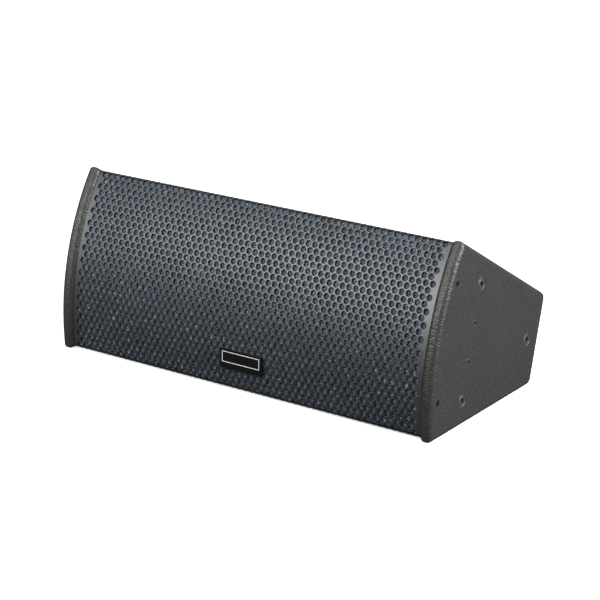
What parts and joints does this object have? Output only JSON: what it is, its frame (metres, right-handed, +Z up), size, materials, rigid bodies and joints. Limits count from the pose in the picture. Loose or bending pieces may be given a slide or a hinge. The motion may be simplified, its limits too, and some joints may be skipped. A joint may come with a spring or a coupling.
{
  "type": "stage monitor wedge",
  "caption": "Low wide floor monitor loudspeaker with a curved perforated grille, thick side panels with rigging inserts, two woofers and a horn.",
  "frame": {"origin": "on the floor under the middle of the footprint", "axes": "+X along the width, to the right seen from the front; -Y the way the grille faces; +Z up"},
  "size_m": [0.6, 0.2876, 0.2455],
  "materials": {
    "cabinet_paint": "textured black paint on birch plywood",
    "inner_plywood": "bare birch plywood",
    "grille_paint": "satin black powder coat on perforated steel",
    "grille_foam": "blue-grey open-cell acoustic foam",
    "badge_enamel": "black enamel with a plain border line",
    "zinc_steel": "black-passivated zinc plate",
    "black_steel": "black oxide",
    "cast_frame": "black-painted casting",
    "ferrite": "ground ferrite",
    "plated_iron": "zinc-plated iron",
    "cone_paper": "pressed pulp",
    "coated_cloth": "impregnated cotton",
    "spider_cloth": "phenolic-dipped cotton",
    "gasket_foam": "closed-cell rubber",
    "copper_wire": "enamelled copper",
    "horn_moulding": "moulded glass-filled ABS",
    "diaphragm_metal": "thin titanium foil",
    "socket_plastic": "glass-filled nylon",
    "board_laminate": "glass-epoxy laminate",
    "capacitor_film": "wrapped polyester film",
    "wadding": "polyester wadding",
    "cable_sheath": "PVC sheath"
  },
  "bodies": {
    "cabinet": {"back_panel": "cabinet_paint", "badge_plate": "badge_enamel", "baffle_cleats": "inner_plywood", "board_standoffs": "plated_iron", "bottom_panel": "cabinet_paint", "bracket_inserts": "zinc_steel", "connector_plate": "black_steel", "connector_screws": "zinc_steel", "crossover_board": "board_laminate", "crossover_capacitors": "capacitor_film", "crossover_coils": "copper_wire", "damping_pads": "wadding", "front_baffle": "inner_plywood", "grille": "grille_paint", "grille_foam": "grille_foam", "grille_screws": "zinc_steel", "hf_bolts": "zinc_steel", "hf_magnet": "ferrite", "hf_phase_plug": "horn_moulding", "hf_pole_plate": "plated_iron", "hf_rear_cover": "horn_moulding", "hf_suspension": "coated_cloth", "hf_top_plate": "plated_iron", "horn_flare": "horn_moulding", "horn_screws": "zinc_steel", "input_socket": "socket_plastic", "left_brace": "inner_plywood", "left_port_duct": "horn_moulding", "left_side_panel": "cabinet_paint", "left_woofer_basket": "cast_frame", "left_woofer_gasket": "gasket_foam", "left_woofer_magnet": "ferrite", "left_woofer_spider": "spider_cloth", "left_woofer_surround": "coated_cloth", "left_woofer_top_plate": "plated_iron", "left_woofer_yoke": "plated_iron", "link_socket": "socket_plastic", "rigging_inserts": "zinc_steel", "right_brace": "inner_plywood", "right_port_duct": "horn_moulding", "right_side_panel": "cabinet_paint", "right_woofer_basket": "cast_frame", "right_woofer_gasket": "gasket_foam", "right_woofer_magnet": "ferrite", "right_woofer_spider": "spider_cloth", "right_woofer_surround": "coated_cloth", "right_woofer_top_plate": "plated_iron", "right_woofer_yoke": "plated_iron", "socket_screws": "zinc_steel", "top_panel": "cabinet_paint", "wiring": "cable_sheath", "woofer_screws": "zinc_steel", "woofer_terminals": "socket_plastic"},
    "left_cone_assembly": {"left_woofer_cone": "cone_paper", "left_woofer_dust_cap": "cone_paper", "left_woofer_voice_coil": "copper_wire"},
    "right_cone_assembly": {"right_woofer_cone": "cone_paper", "right_woofer_dust_cap": "cone_paper", "right_woofer_voice_coil": "copper_wire"},
    "hf_dome_assembly": {"hf_diaphragm": "diaphragm_metal"}
  },
  "joints": [
    {"name": "left_cone_stroke", "type": "slide", "parent": "cabinet", "child": "left_cone_assembly", "axis": [0, -0.9659, 0.2588], "range_m": [-0.006, 0.006], "stiffness_N_per_m": 3300, "deforming": ["left_woofer_surround", "left_woofer_spider"]},
    {"name": "right_cone_stroke", "type": "slide", "parent": "cabinet", "child": "right_cone_assembly", "axis": [0, -0.9659, 0.2588], "range_m": [-0.006, 0.006], "stiffness_N_per_m": 3300, "deforming": ["right_woofer_surround", "right_woofer_spider"]},
    {"name": "hf_dome_stroke", "type": "slide", "parent": "cabinet", "child": "hf_dome_assembly", "axis": [0, -0.9659, 0.2588], "range_m": [-0.0004, 0.0004], "stiffness_N_per_m": 8000, "deforming": ["hf_suspension"]}
  ]
}
